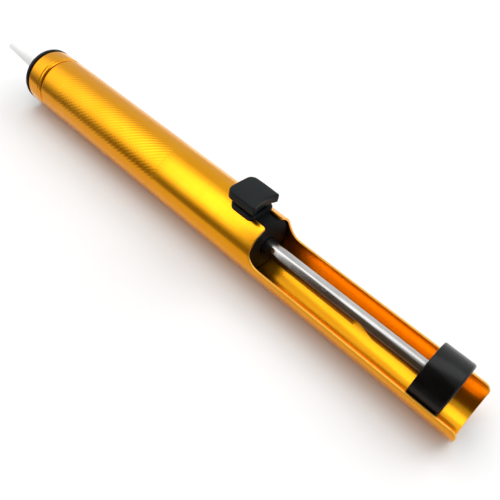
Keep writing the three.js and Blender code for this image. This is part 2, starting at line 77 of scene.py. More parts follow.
# The diamond knurl: grooves round the tube, pitch along it, and the share of the depth that the
# grooves of the second family have.
KNURL_START = 16.5
KNURL_END = 66.5
KNURL_COUNT = 48
KNURL_PITCH = 1.6
KNURL_DEPTH = 0.055
KNURL_CROSS = 0.45
KNURL_GROOVE = 0.32
KNURL_FADE = 0.6
KNURL_ROW = 0.2

PAD_TOP = 14.2
PAD_BOTTOM = 11.25
PAD_FRONT = 90.8
PAD_REAR = 101.5
PAD_HALF_WIDTH = 5.2
PAD_ROUNDING = 0.55
HEAD_BOTTOM = 8.7
HEAD_TOP = 9.85
HEAD_ROUNDING = 0.45
SCREW_AT = 101.8


def at(behind):
    return DATUM - behind * MM


def place(behind, across, above):
    """A point from its distance behind the datum, across the pump and above its axis."""
    return (at(behind), across * MM, AXIS_Z + above * MM)


# ---- Camera ---------------------------------------------------------------------------------

camera_data = bpy.data.cameras.new("camera")
camera_data.lens = 40.68
camera_data.sensor_width = 36.0
camera_data.clip_start, camera_data.clip_end = 0.01, 20.0
camera = bpy.data.objects.new("camera", camera_data)
bpy.context.scene.collection.objects.link(camera)
camera_right = Vector((-0.71494, -0.67917, 0.16611)).normalized()
camera_back = -Vector((0.39782, -0.59051, -0.70217)).normalized()
camera_up = camera_back.cross(camera_right)
turn = Matrix((camera_right, camera_up, camera_back)).transposed().to_4x4()
CAMERA_PLACE = (-0.0914, 0.0971, 0.11875)
camera.matrix_world = Matrix.Translation(CAMERA_PLACE) @ turn
bpy.context.scene.camera = camera
bpy.context.scene.view_settings.view_transform = "Standard"


# ---- Materials ------------------------------------------------------------------------------

class Nodes:
    """A material's node tree, with short calls for the nodes used here."""

    def __init__(self, name):
        self.material = bpy.data.materials.new(name)
        self.material.use_nodes = True
        self.tree = self.material.node_tree
        self.shader = self.tree.nodes["Principled BSDF"]
        self.place = self.tree.nodes.new("ShaderNodeTexCoord").outputs["Object"]

    def link(self, source, target):
        self.tree.links.new(source, target)

    def stretched(self, scale):
        node = self.tree.nodes.new("ShaderNodeMapping")
        node.inputs["Scale"].default_value = scale
        self.link(self.place, node.inputs["Vector"])
        return node.outputs["Vector"]

    def noise(self, scale, detail=3.0, stretch=None, roughness=0.55):
        node = self.tree.nodes.new("ShaderNodeTexNoise")
        node.inputs["Scale"].default_value = scale
        node.inputs["Detail"].default_value = detail
        node.inputs["Roughness"].default_value = roughness
        self.link(self.stretched(stretch) if stretch else self.place, node.inputs["Vector"])
        return node.outputs["Fac"]

    def voronoi(self, scale):
        node = self.tree.nodes.new("ShaderNodeTexVoronoi")
        node.inputs["Scale"].default_value = scale
        self.link(self.place, node.inputs["Vector"])
        return node.outputs["Distance"]

    def remap(self, source, low, high, to_low, to_high):
        node = self.tree.nodes.new("ShaderNodeMapRange")
        for name, value in (
            ("From Min", low),
            ("From Max", high),
            ("To Min", to_low),
            ("To Max", to_high),
        ):
            node.inputs[name].default_value = value
        self.link(source, node.inputs["Value"])
        return node.outputs["Result"]

    def maths(self, operation, a, b):
        node = self.tree.nodes.new("ShaderNodeMath")
        node.operation = operation
        self.link(a, node.inputs[0])
        if isinstance(b, (int, float)):
            node.inputs[1].default_value = b
        else:
            self.link(b, node.inputs[1])
        return node.outputs[0]

    def mix(self, share, first, second):
        """A colour between two, each of which is a colour or a socket."""
        node = self.tree.nodes.new("ShaderNodeMix")
        node.data_type = "RGBA"
        self.link(share, node.inputs["Factor"])
        for socket, colour in ((node.inputs[6], first), (node.inputs[7], second)):
            if isinstance(colour, tuple):
                socket.default_value = (*colour, 1)
            else:
                self.link(colour, socket)
        return node.outputs[2]

    def colour(self, source):
        self.link(source, self.shader.inputs["Base Color"])

    def roughness(self, source):
        self.link(source, self.shader.inputs["Roughness"])

    def bump(self, height, distance, strength=1.0):
        """Adds relief, with its depth in millimetres, over any relief added before."""
        node = self.tree.nodes.new("ShaderNodeBump")
        node.inputs["Strength"].default_value = strength
        node.inputs["Distance"].default_value = distance * MM
        self.link(height, node.inputs["Height"])
        normal = self.shader.inputs["Normal"]
        if normal.is_linked:
            self.link(normal.links[0].from_socket, node.inputs["Normal"])
        self.link(node.outputs["Normal"], normal)

    def settings(self, **values):
        for name, value in values.items():
            self.shader.inputs[name.replace("_", " ")].default_value = value
        return self.material


def gold_anodised(name, light, dark, rough):
    """Bright dyed aluminium, with fine lathe lines round it and faint handling marks."""
    n = Nodes(name)
    cloud = n.noise(140, 4)
    rings = n.noise(1, 2, stretch=(9000, 60, 60))
    smudge = n.remap(n.noise(55, 5, roughness=0.65), 0.45, 0.75, 0, 1)
    n.colour(n.mix(n.remap(cloud, 0.3, 0.7, 0, 1), dark, light))
    base = n.remap(rings, 0.2, 0.8, rough - 0.025, rough + 0.035)
    n.roughness(n.maths("ADD", base, n.maths("MULTIPLY", smudge, 0.07)))
    n.bump(rings, 0.0012, 0.5)
    n.bump(n.noise(2600, 2), 0.0015, 0.35)
    return n.settings(Metallic=1.0)


def bare_edge():
    """The sawn and dyed edge of the tube, paler than its faces, with saw lines across it."""
    n = Nodes("gold_cut_edge")
    lines = n.noise(1, 3, stretch=(5200, 300, 5200))
    n.colour(n.mix(n.remap(lines, 0.3, 0.7, 0, 1), (0.92, 0.42, 0.035), (0.97, 0.52, 0.09)))
    n.roughness(n.remap(lines, 0.2, 0.8, 0.26, 0.44))
    n.bump(lines, 0.006, 0.5)
    return n.settings(Metallic=1.0)


def black_plastic(name, low, high, rough, grain, sheen_level):
    """Moulded plastic, with a fine spark-eroded grain, uneven sheen and a little dust."""
    n = Nodes(name)
    cloud = n.noise(210, 4)
    grains = n.voronoi(grain)
    dust = n.remap(n.noise(3800, 3, roughness=0.7), 0.66, 0.8, 0, 1)
    body = n.mix(n.remap(cloud, 0.3, 0.7, 0, 1), low, high)
    n.colour(n.mix(n.maths("MULTIPLY", dust, 0.25), body, (0.16, 0.16, 0.155)))
    sheen = n.remap(cloud, 0.3, 0.7, rough - 0.05, rough + 0.06)
    n.roughness(n.maths("ADD", sheen, n.maths("MULTIPLY", dust, 0.2)))
    n.bump(grains, 0.012, 0.5)
    n.bump(n.noise(700, 3), 0.02, 0.25)
    return n.settings(IOR=1.5, Specular_IOR_Level=sheen_level)


def chromed_steel():
    """Bright plating over a drawn bar: long fine draw lines, pin-head marks and soft wear."""
    n = Nodes("chromed_steel")
    lines = n.noise(1, 3, stretch=(90, 5200, 5200))
    marks = n.remap(n.noise(1500, 2), 0.68, 0.78, 0, 1)
    tone = n.remap(n.noise(120, 3), 0.3, 0.7, 0, 1)
    n.colour(n.mix(tone, (0.46, 0.45, 0.44), (0.58, 0.575, 0.57)))
    n.roughness(n.maths("ADD", n.remap(lines, 0.3, 0.7, 0.17, 0.25), n.maths("MULTIPLY", marks, 0.1)))
    n.bump(lines, 0.0012, 0.4)
    return n.settings(Metallic=1.0)


def steel(name, low, high, rough, stretch):
    """Plain or plated steel, with wire or turning lines and patchy dullness."""
    n = Nodes(name)
    lines = n.noise(1, 3, stretch=stretch)
    patches = n.noise(420, 4)
    n.colour(n.mix(n.remap(patches, 0.3, 0.7, 0, 1), low, high))
    n.roughness(n.remap(n.maths("ADD", lines, patches), 0.6, 1.4, rough - 0.07, rough + 0.1))
    n.bump(lines, 0.004, 0.4)
    return n.settings(Metallic=1.0)


def white_plastic(name, low, high, rough, depth):
    """Waxy white plastic that lets a little light in, with faint turning rings and scuffs."""
    n = Nodes(name)
    rings = n.noise(1, 2, stretch=(4200, 40, 40))
    scuffs = n.remap(n.noise(900, 5, roughness=0.7), 0.6, 0.75, 0, 1)
    body = n.mix(n.remap(n.noise(160, 4), 0.3, 0.7, 0, 1), low, high)
    n.colour(n.mix(n.maths("MULTIPLY", scuffs, 0.3), body, (0.62, 0.60, 0.55)))
    n.roughness(n.remap(rings, 0.3, 0.7, rough - 0.05, rough + 0.08))
    n.bump(rings, 0.008, 0.4)
    return n.settings(
        IOR=1.38,
        Subsurface_Weight=0.25,
        Subsurface_Radius=(1.0, 0.9, 0.8),
        Subsurface_Scale=depth * MM,
    )


def black_rubber():
    """Matt nitrile rubber with a bloom of pale dust and a moulded skin."""
    n = Nodes("black_rubber")
    bloom = n.remap(n.noise(650, 5, roughness=0.7), 0.45, 0.75, 0, 1)
    n.colour(n.mix(bloom, (0.010, 0.010, 0.011), (0.034, 0.033, 0.032)))
    n.roughness(n.remap(bloom, 0, 1, 0.55, 0.8))
    n.bump(n.noise(3000, 3), 0.01, 0.5)
    return n.settings(IOR=1.5)


GOLD_LIGHT, GOLD_DARK = (0.99, 0.435, 0.013), (0.96, 0.395, 0.010)
GOLD = gold_anodised("gold_anodised", GOLD_LIGHT, GOLD_DARK, 0.20)
GOLD_COLLAR = gold_anodised("gold_collar", GOLD_LIGHT, GOLD_DARK, 0.17)
EDGE = bare_edge()
PLASTIC = black_plastic("black_plastic", (0.006, 0.008, 0.009), (0.010, 0.013, 0.014), 0.40, 4200, 0.15)
# The block plastic is a darker, duller copy of the black plastic. It is painted shade for the guide
# block's faces inside the tube.
SHADED_BLOCK = black_plastic("block_plastic_shaded", (0.005, 0.006, 0.006), (0.009, 0.010, 0.010), 0.6, 3600, 0.06)
KNOB = black_plastic("knob_plastic", (0.0015, 0.002, 0.0025), (0.004, 0.0045, 0.005), 0.24, 2600, 0.3)
HOLDER = black_plastic("holder_plastic", (0.006, 0.007, 0.010), (0.010, 0.011, 0.015), 0.38, 5200, 0.2)
CHROME = chromed_steel()
SPRING = steel("spring_steel", (0.42, 0.42, 0.43), (0.58, 0.58, 0.58), 0.28, (900, 900, 900))
ZINC = steel("zinc_steel", (0.52, 0.54, 0.57), (0.70, 0.71, 0.72), 0.34, (3000, 300, 300))
PTFE = white_plastic("white_ptfe", (0.86, 0.86, 0.84), (0.93, 0.93, 0.92), 0.36, 1.2)
NYLON = white_plastic("white_nylon", (0.66, 0.63, 0.56), (0.76, 0.73, 0.66), 0.48, 0.8)
RUBBER = black_rubber()


# ---- Mesh helpers ---------------------------------------------------------------------------

WELD = 1e-7
SHARP_ANGLE = math.radians(38)


def finished(name, mesh, materials, body, slot, *nodes):
    """Makes a piece from a mesh: shaded, given its finish, and riding on its body.

    The shading breaks at sharp angles, and where one finish meets another.
    """
    work = bmesh.new()
    work.from_mesh(mesh)
    bmesh.ops.remove_doubles(work, verts=work.verts, dist=WELD)
    bmesh.ops.recalc_face_normals(work, faces=work.faces)
    work.to_mesh(mesh)
    work.free()
    mesh.shade_smooth()
    mesh.set_sharp_from_angle(angle=SHARP_ANGLE)
    work = bmesh.new()
    work.from_mesh(mesh)
    for edge in work.edges:
        if len({face.material_index for face in edge.link_faces}) > 1:
            edge.smooth = False
    work.to_mesh(mesh)
    work.free()
    if not mesh.materials:
        for material in materials:
            mesh.materials.append(material)
    piece = bpy.data.objects.new(name, mesh)
    bpy.context.scene.collection.objects.link(piece)
    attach(piece, body)
    if nodes:
        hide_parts(*nodes)
    return piece


def rounded_profile(profile, steps):
    """Rounds each corner that has a third number, which is its radius."""
    points = []
    for k, corner in enumerate(profile):
        here = Vector(corner[:2])
        if len(corner) < 3:
            points.append(tuple(here))
            continue
        before = (Vector(profile[k - 1][:2]) - here).normalized()
        after = (Vector(profile[(k + 1) % len(profile)][:2]) - here).normalized()
        half = before.angle(after) / 2
        centre = here + (before + after).normalized() * (corner[2] / math.sin(half))
        start = here + before * (corner[2] / math.tan(half)) - centre
        end = here + after * (corner[2] / math.tan(half)) - centre
        sweep = start.angle(end)
        for n in range(steps + 1):
            a = sweep * n / steps
            p = centre + (start * math.sin(sweep - a) + end * math.sin(a)) / math.sin(sweep)
            points.append(tuple(p))
    return points


def turned_mesh(name, profile, segments=128, steps=4, relief=None):
    """A body turned about the pump's axis from [distance behind, radius, rounding] corners.

    A profile that starts and ends on the axis is closed there, and any other is a ring.
    relief may change the radius from (distance behind, angle, radius).
    """
    corners = rounded_profile(profile, steps)
    on_axis = corners[0][1] == 0 and corners[-1][1] == 0
    verts, rows = [], []
    for behind, radius in corners:
        if radius == 0:
            rows.append([len(verts)] * segments)
            verts.append(place(behind, 0, 0))
            continue
        rows.append(list(range(len(verts), len(verts) + segments)))
        for k in range(segments):
            a = 2 * math.pi * k / segments
            r = relief(behind, a, radius) if relief else radius
            verts.append(place(behind, r * math.sin(a), r * math.cos(a)))
    pairs = list(zip(rows, rows[1:]))
    if not on_axis:
        pairs.append((rows[-1], rows[0]))
    faces = []
    for one, two in pairs:
        for k in range(segments):
            n = (k + 1) % segments
            corner_ids = [one[k], one[n], two[n], two[k]]
            face = list(dict.fromkeys(corner_ids))
            if len(face) > 2:
                faces.append(face)
    mesh = bpy.data.meshes.new(name)
    mesh.from_pydata(verts, [], faces)
    return mesh


def combined(name, first, *steps):
    """The mesh left after each (operation, mesh) step is applied to the first."""
    base = bpy.data.objects.new(name, first)
    bpy.context.scene.collection.objects.link(base)
    tools = []
    for operation, mesh in steps:
        tool = bpy.data.objects.new(name + "_tool", mesh)
        bpy.context.scene.collection.objects.link(tool)
        tools.append(tool)
        change = base.modifiers.new("combine", "BOOLEAN")
        change.operation = operation
        change.solver = "EXACT"
        change.object = tool
    bpy.context.view_layer.update()
    made = base.evaluated_get(bpy.context.evaluated_depsgraph_get())
    mesh = bpy.data.meshes.new_from_object(made)
    mesh.name = name
    for item in (base, *tools):
        bpy.data.objects.remove(item)
    return mesh


def tidy_normals(mesh):
    """Turns every face of a closed mesh outwards."""
    work = bmesh.new()
    work.from_mesh(mesh)
    bmesh.ops.recalc_face_normals(work, faces=work.faces)
    work.to_mesh(mesh)
    work.free()
    return mesh


def stacked_mesh(name, rings, start_centre=None, end_centre=None):
    """A closed body from rings with the same number of points, capped to a centre at each end."""
    count = len(rings[0])
    verts = [p for ring in rings for p in ring]
    faces = []
    for j in range(len(rings) - 1):
        for k in range(count):
            n = (k + 1) % count
            faces.append([j * count + k, j * count + n, (j + 1) * count + n, (j + 1) * count + k])
    for ring_start, centre in ((0, start_centre), ((len(rings) - 1) * count, end_centre)):
        verts.append(centre or tuple(np.mean(rings[0 if ring_start == 0 else -1], axis=0)))
        for k in range(count):
            faces.append([ring_start + k, ring_start + (k + 1) % count, len(verts) - 1])
    mesh = bpy.data.meshes.new(name)
    mesh.from_pydata(verts, [], faces)
    return tidy_normals(mesh)


def box_mesh(name, start, end, half_width, bottom, top):
    """A block, given as distances behind the datum and heights above the axis."""
    work = bmesh.new()
    bmesh.ops.create_cube(work, size=1.0)
    size = Vector(((end - start) * MM, 2 * half_width * MM, (top - bottom) * MM))
    centre = Vector(place((start + end) / 2, 0, (top + bottom) / 2))
    for v in work.verts:
        v.co = Vector(a * b for a, b in zip(v.co, size)) + centre
    bmesh.ops.recalc_face_normals(work, faces=work.faces)
    mesh = bpy.data.meshes.new(name)
    work.to_mesh(mesh)
    work.free()
    return mesh


# ---- Barrel ---------------------------------------------------------------------------------

def shoulder_end(angle):
    """Where the tube's upper half ends, by angle from straight down."""
    above = -TUBE_RADIUS * math.cos(angle)
    end = SHOULDER
    below_curve = TRAY_EDGE + SHOULDER_CURVE - above
    if below_curve > 0:
        run = math.sqrt(max(SHOULDER_CURVE**2 - below_curve**2, 0))
        end = SHOULDER + SHOULDER_CURVE - run
    from_slot = (SLOT_ANGLE - angle) * TUBE_RADIUS
    if from_slot < SLOT_CORNER:
        lift = math.sqrt(max(SLOT_CORNER**2 - (SLOT_CORNER - from_slot) ** 2, 0))
        end -= SLOT_CORNER - lift
    return end


def tray_end(angle):
    """Where the tube's lower half ends, by angle from straight down."""
    above = -TUBE_RADIUS * math.cos(angle)
    over_corner = above - (TRAY_EDGE - TAIL_CORNER)
    if over_corner <= 0:
        return TUBE_END
    run = math.sqrt(max(TAIL_CORNER**2 - over_corner**2, 0))
    return TUBE_END - TAIL_CORNER + run


def knurl(behind, angle):
    """Depth of the diamond knurl's grooves, which run both ways round the tube."""
    if not KNURL_START < behind < KNURL_END:
        return 0.0
    fade = min(1.0, (behind - KNURL_START) / KNURL_FADE, (KNURL_END - behind) / KNURL_FADE)
    round_share = angle * KNURL_COUNT / (2 * math.pi)
    along = behind / KNURL_PITCH
    cut = 0.0
    for phase, share in ((round_share - along, 1.0), (round_share + along, KNURL_CROSS)):
        from_line = abs((phase + 0.5) % 1.0 - 0.5)
        cut = max(cut, share * (1 - from_line / KNURL_GROOVE))
    return KNURL_DEPTH * fade * cut


RIM_ANGLE = math.acos(-TRAY_EDGE / TUBE_RADIUS)
SLOT_ANGLE = math.pi - math.asin(SLOT_HALF_WIDTH / TUBE_RADIUS)
HALF_COLUMNS = 150
RIM_COLUMN = 74
SLOT_COLUMN = 133
SHOULDER_ROWS = 12
TRAY_ROWS = 22
ROLL_STEPS = 4
EASE_START, EASE_LENGTH = KNURL_END + 2, 20


def barrel_mesh():
    """The tube as one closed skin: outside, bore and a rounded rim between them."""
    even = np.linspace(0, math.pi, HALF_COLUMNS + 1)
    fitted = np.concatenate(
        [
            np.linspace(0, RIM_ANGLE, RIM_COLUMN + 1),
            np.linspace(RIM_ANGLE, SLOT_ANGLE, SLOT_COLUMN - RIM_COLUMN + 1)[1:],
            np.linspace(SLOT_ANGLE, math.pi, HALF_COLUMNS - SLOT_COLUMN + 1)[1:],
        ]
    )
    columns = list(range(-HALF_COLUMNS + 1, HALF_COLUMNS + 1))
    verts, faces, kinds = [], [], []

    def corner(column, share):
        """The column's angle, eased from even spacing to fitted spacing."""
        k = abs(column)
        angle = even[k] + (fitted[k] - even[k]) * share
        return math.copysign(angle, column) if column else 0.0

    def add(behind, angle, radius):
        verts.append(place(behind, radius * math.sin(angle), -radius * math.cos(angle)))
        return len(verts) - 1

    def rows_of(column, front_rows):
        k = abs(column)
        rows = list(front_rows)
        if k <= SLOT_COLUMN:
            meet = SHOULDER + SHOULDER_CURVE if k <= RIM_COLUMN else shoulder_end(fitted[k])
            steps = range(1, SHOULDER_ROWS + 1)
            rows += [SLOT_START + (meet - SLOT_START) * n / SHOULDER_ROWS for n in steps]
        if k <= RIM_COLUMN:
            last = tray_end(fitted[k])
            rows += [meet + (last - meet) * n / TRAY_ROWS for n in range(1, TRAY_ROWS + 1)]
        return rows

    def rim_loop(front_count):
        """(column, row) round the edge of the opening, from the slot's middle and back to it."""
        slot_row = front_count - 1
        shoulder_row = slot_row + SHOULDER_ROWS
        tray_row = shoulder_row + TRAY_ROWS
        half = [(k, slot_row) for k in range(HALF_COLUMNS - 1, SLOT_COLUMN, -1)]
        half += [(SLOT_COLUMN, j) for j in range(slot_row, shoulder_row)]
        half += [(k, shoulder_row) for k in range(SLOT_COLUMN, RIM_COLUMN, -1)]
        half += [(RIM_COLUMN, j) for j in range(shoulder_row, tray_row)]
        half += [(k, tray_row) for k in range(RIM_COLUMN, 0, -1)]
        mirrored = [(-k, j) for k, j in reversed(half)]
        return [(HALF_COLUMNS, slot_row), *half, (0, tray_row), *mirrored]

    def skin(front_rows, radius_at, radius, kind):
        """One face of the tube. Returns the vertex ids by (column, row), and the loop of the rim."""
        place_of = {}
        for column in columns:
            for j, behind in enumerate(rows_of(column, front_rows)):
                share = min(max((behind - EASE_START) / EASE_LENGTH, 0), 1)
                place_of[column, j] = (behind, corner(column, share * share * (3 - 2 * share)))
        loop = rim_loop(len(front_rows))
        flat = np.array([(place_of[key][0], place_of[key][1] * TUBE_RADIUS) for key in loop])
        period = 2 * math.pi * TUBE_RADIUS
        step = np.roll(flat, -1, 0) - np.roll(flat, 1, 0)
        step[:, 1] = (step[:, 1] + period / 2) % period - period / 2
        step /= np.linalg.norm(step, axis=1)[:, None]
        inward = np.stack([-step[:, 1], step[:, 0]], 1)
        if inward[0, 0] > 0:
            inward = -inward
        edge = {}
        for key, point, towards in zip(loop, flat, inward):
            edge[key] = (point, towards)
        ids = {}
        for key, (behind, angle) in place_of.items():
            if key in edge:
                point, towards = edge[key]
                behind, across = point + towards * RIM_ROUNDING
                angle = across / TUBE_RADIUS
            ids[key] = add(behind, angle, radius_at(behind, angle, radius))
        for column in columns:
            after = column + 1 if column < HALF_COLUMNS else -HALF_COLUMNS + 1
            j = 0
            while (column, j + 1) in ids and (after, j + 1) in ids:
                faces.append([ids[column, j], ids[after, j], ids[after, j + 1], ids[column, j + 1]])
                kinds.append(kind)
                j += 1
        return ids, loop, edge

    knurl_rows = list(np.arange(KNURL_START, KNURL_END + KNURL_ROW / 4, KNURL_ROW))
    outer_front = [TUBE_START, 8.05, 8.6, 8.8, 12.0, *knurl_rows, 70.0, 75.0, 81.0, 87.0, SLOT_START]
    inner_front = [TUBE_START, 8.1, 12.0, 30.0, 50.0, 66.0, 72.0, 78.0, 85.0, SLOT_START]

    def outer_radius(behind, angle, radius):
        chamfer = max(0.0, 1 - (behind - TUBE_START) / SEAM_LENGTH) * SEAM_DEPTH
        return radius - chamfer - knurl(behind, angle)

    outer, outer_loop, outer_edge = skin(outer_front, outer_radius, TUBE_RADIUS, 0)
    inner, inner_loop, _ = skin(inner_front, lambda b, a, r: r, TUBE_BORE, 0)

    # The rim rolls over from the outside to the bore.
    strips = [[outer[key] for key in outer_loop]]
    for radius, side in ((TUBE_RADIUS - RIM_ROUNDING, 1), (TUBE_BORE + RIM_ROUNDING, -1)):
        for n in range(1, ROLL_STEPS + 1) if side > 0 else range(0, ROLL_STEPS):
            roll = math.pi / 2 * n / ROLL_STEPS
            inset = RIM_ROUNDING * (1 - math.sin(roll) if side > 0 else 1 - math.cos(roll))
            level = radius + RIM_ROUNDING * (math.cos(roll) if side > 0 else -math.sin(roll))
            strip = []
            for key in outer_loop:
                point, towards = outer_edge[key]
                behind, across = point + towards * inset
                strip.append(add(behind, across / TUBE_RADIUS, level))
            strips.append(strip)
    strips.append([inner[key] for key in inner_loop])
    count = len(outer_loop)
    for one, two in zip(strips, strips[1:]):
        for k in range(count):
            n = (k + 1) % count
            faces.append([one[k], one[n], two[n], two[k]])
            kinds.append(1)

    # The front end joins the two skins.
    for column in columns:
        after = column + 1 if column < HALF_COLUMNS else -HALF_COLUMNS + 1
        faces.append([outer[column, 0], outer[after, 0], inner[after, 0], inner[column, 0]])
        kinds.append(0)
    mesh = bpy.data.meshes.new("barrel_skin")
    mesh.from_pydata(verts, [], faces)
    mesh.materials.append(GOLD)
    mesh.materials.append(EDGE)
    mesh.polygons.foreach_set("material_index", kinds)
    return tidy_normals(mesh)


def standing_peg(name, behind, levels, segments=64):
    """A round body that stands along Z, from [height, radius] pairs, bottom first."""
    rings = []
    for height, radius in levels:
        rings.append(
            [
                (
                    at(behind) + radius * MM * math.cos(2 * math.pi * k / segments),
                    radius * MM * math.sin(2 * math.pi * k / segments),
                    AXIS_Z + height * MM,
                )
                for k in range(segments)
            ]
        )
    return stacked_mesh(name, rings)


screw_hole = [[-10.6, 2.9], [-9.55, 2.35], [-9.3, 2.25], [-7.8, 2.25]]
finished(
    "barrel_tube",
    combined("barrel_tube", barrel_mesh(), ("DIFFERENCE", standing_peg("hole", SCREW_AT, screw_hole))),
    [GOLD, EDGE],
    "barrel_body",
    "gold_anodised",
    "barrel",
)


# ---- Nose: collar, holder and nozzle --------------------------------------------------------

THREAD_PITCH = 1.0
THREAD_ROOT = 8.4
THREAD_DEPTH = 0.24
THREAD_START, THREAD_END = 7.8, 11.8
GROOVE_START, GROOVE_END = 9.1, 10.6


def thread(behind, angle, radius):
    """A fine single-start thread on the collar's neck, broken by the groove for its seal."""
    threaded = THREAD_START < behind < THREAD_END and not GROOVE_START < behind < GROOVE_END
    if radius != THREAD_ROOT or not threaded:
        return radius
    along = (behind / THREAD_PITCH + angle / (2 * math.pi)) % 1.0
    return radius + THREAD_DEPTH * (1 - abs(2 * along - 1))


def neck_rows(start, end, step=0.125):
    return [(float(s), THREAD_ROOT) for s in np.arange(start, end, step)]


finished(
    "collar_ring",
    turned_mesh(
        "collar_ring",
        [
            (0.5, 7.25, 0.15),
            (0.5, 9.5, 0.95),
            (6.1, 9.5, 0.1),
            (6.4, 9.38, 0.1),
            (6.7, 9.5, 0.1),
            (7.2, 9.5, 0.2),
            (7.7, 9.3, 0.1),
            (7.7, 8.4),
            *neck_rows(7.8, 9.15),
            (9.2, 8.4),
            (9.2, 7.7),
            (10.5, 7.7),
            (10.5, 8.4),
            *neck_rows(10.6, 11.9),
            (12, 8.2, 0.1),
            (12, 7.25, 0.1),
        ],
        segments=192,
        steps=8,
        relief=thread,
    ),
    [GOLD_COLLAR],
    "nose",
    "gold_anodised",
    "front_collar",
)

finished(
    "nozzle_plug",
    turned_mesh(
        "nozzle_plug",
        [
            (-3.4, 3.65, 0.15),
            (-3.4, 5.2, 0.35),
            (-1.0, 5.2, 0.3),
            (-1.0, 9.5, 0.42),
            (0.2, 9.5, 0.15),
            (0.2, 6.95, 0.1),
            (6.4, 6.95, 0.1),
            (6.4, 5.75, 0.1),
            (7.9, 5.75, 0.1),
            (7.9, 6.95, 0.1),
            (12.5, 6.95, 0.3),
            (12.5, 2.6, 0.2),
            (9.5, 2.6),
            (9.5, 3.65),
        ],
        segments=160,
    ),
    [HOLDER],
    "nose",
    "black_plastic",
    "nozzle_holder",
)

finished(
    "nozzle_tip",
    turned_mesh(
        "nozzle_tip",
        [
            (-25.0, 1.0, 0.12),
            (-25.0, 1.5, 0.2),
            (-13.0, 2.2, 3.0),
            (-4.2, 2.95, 0.8),
            (-3.5, 3.1, 0.12),
            (-3.4, 3.35),
            (9.2, 3.35, 0.3),
            (9.2, 2.2, 0.2),
            (-3.4, 1.3),
        ],
        segments=96,
    ),
    [PTFE],
    "nose",
    "white_ptfe",
    "nozzle",
)


# ---- Plunger: rod and knob ------------------------------------------------------------------

NOTCH_TURN = math.radians(132)


def notch_mesh():
    """The saw tooth cut out of the rod's side: a wall, a short floor and a ramp."""
    side = [(136.8, 4.0), (136.8, 0.95), (138.0, 0.95), (138.5, 0.99)]
    ramp_steps, ramp_length, ramp_rise, ramp_curve = 8, 5.0, 1.47, 1.15
    for n in range(1, ramp_steps + 1):
        share = n / ramp_steps
        side.append((138.5 + ramp_length * share, 0.99 + ramp_rise * share**ramp_curve))
    side.append((143.9, 4.0))
    past_rod = 6.0
    rings = [[place(s, w, h) for s, h in side] for w in (-past_rod, past_rod)]
    mesh = stacked_mesh("notch", rings)
    centre = Matrix.Translation((0, 0, AXIS_Z))
    mesh.transform(centre @ Matrix.Rotation(-NOTCH_TURN, 4, "X") @ centre.inverted())
    return mesh


rod_profile = [
    (70.4, 0),
    (70.4, 1.5, 0.2),
    (82.35, 1.5),
    (82.35, 2.4, 0.1),
    (163.6, 2.4, 0.3),
    (163.6, 0),
]
finished(
    "rod_bar",
    combined(
        "rod_bar",
        tidy_normals(turned_mesh("rod_bar", rod_profile, 128)),
        ("DIFFERENCE", notch_mesh()),
    ),
    [CHROME],
    "plunger",
    "chromed_steel",
    "plunger_rod",
)

finished(
    "knob_disc",
    turned_mesh(
        "knob_disc",
        [
            (163.9, 0),
            (163.9, 2.5),
            (157.15, 2.5, 0.15),
            (157.15, 3.9, 0.1),
            (157.35, 4.0, 0.1),
            (157.35, 7.5, 0.1),
            (157.15, 7.6, 0.1),
            (157.15, 8.45, 0.22),
            (165.45, 8.45, 0.18),
            (165.9, 8.05, 0.15),
            (165.9, 0.9, 0.1),
            (165.72, 0.7, 0.08),
            (165.72, 0),
        ],
        segments=160,
    ),
    [KNOB],
    "plunger",
    "black_plastic",
    "plunger_knob",
)


# ---- Guide block and trigger ----------------------------------------------------------------

def slab_outline(front, rear, half_width, front_corner, rear_corner, hollow=0.0, inset=0.0, count=10):
    """Plan outline of a slab, as (distance behind, across) points. hollow bows the rear edge in."""
    half = half_width - inset
    front, rear = front + inset, rear - inset
    points = []

    def corner(centre_s, centre_w, radius, start):
        for n in range(count + 1):
            a = math.radians(start + 90 * n / count)
            points.append((centre_s + radius * math.cos(a), centre_w + radius * math.sin(a)))

    fc = max(front_corner - inset, 0.05)
    rc = max(rear_corner - inset, 0.05)
    side = [front + fc + (rear - rc - front - fc) * n / 8 for n in range(1, 8)]
    corner(rear - rc, half - rc, rc, 0)
    points += [(s, half) for s in reversed(side)]
    corner(front + fc, half - fc, fc, 90)
    points += [(front, (half - fc) * (1 - n / 4)) for n in range(1, 8)]
    corner(front + fc, -half + fc, fc, 180)
    points += [(s, -half) for s in side]
    corner(rear - rc, -half + rc, rc, 270)
    points += [(rear, (-half + rc) * (1 - n / 4)) for n in range(1, 8)]
    if hollow:
        bowed = []
        for s, w in points:
            near_rear = min(max((s - rear + 3.0) / 3.0, 0), 1)
            bowed.append((s - hollow * near_rear * (1 - (w / half) ** 2), w))
        points = bowed
    return points


def scaled_ring(outline, share, height):
    """An outline drawn in towards its middle, at the height that height(behind, across) gives."""
    middle = np.mean(outline, axis=0)
    moved = [middle + (np.array(point) - middle) * share for point in outline]
    return [place(*point, height(*point)) for point in moved]


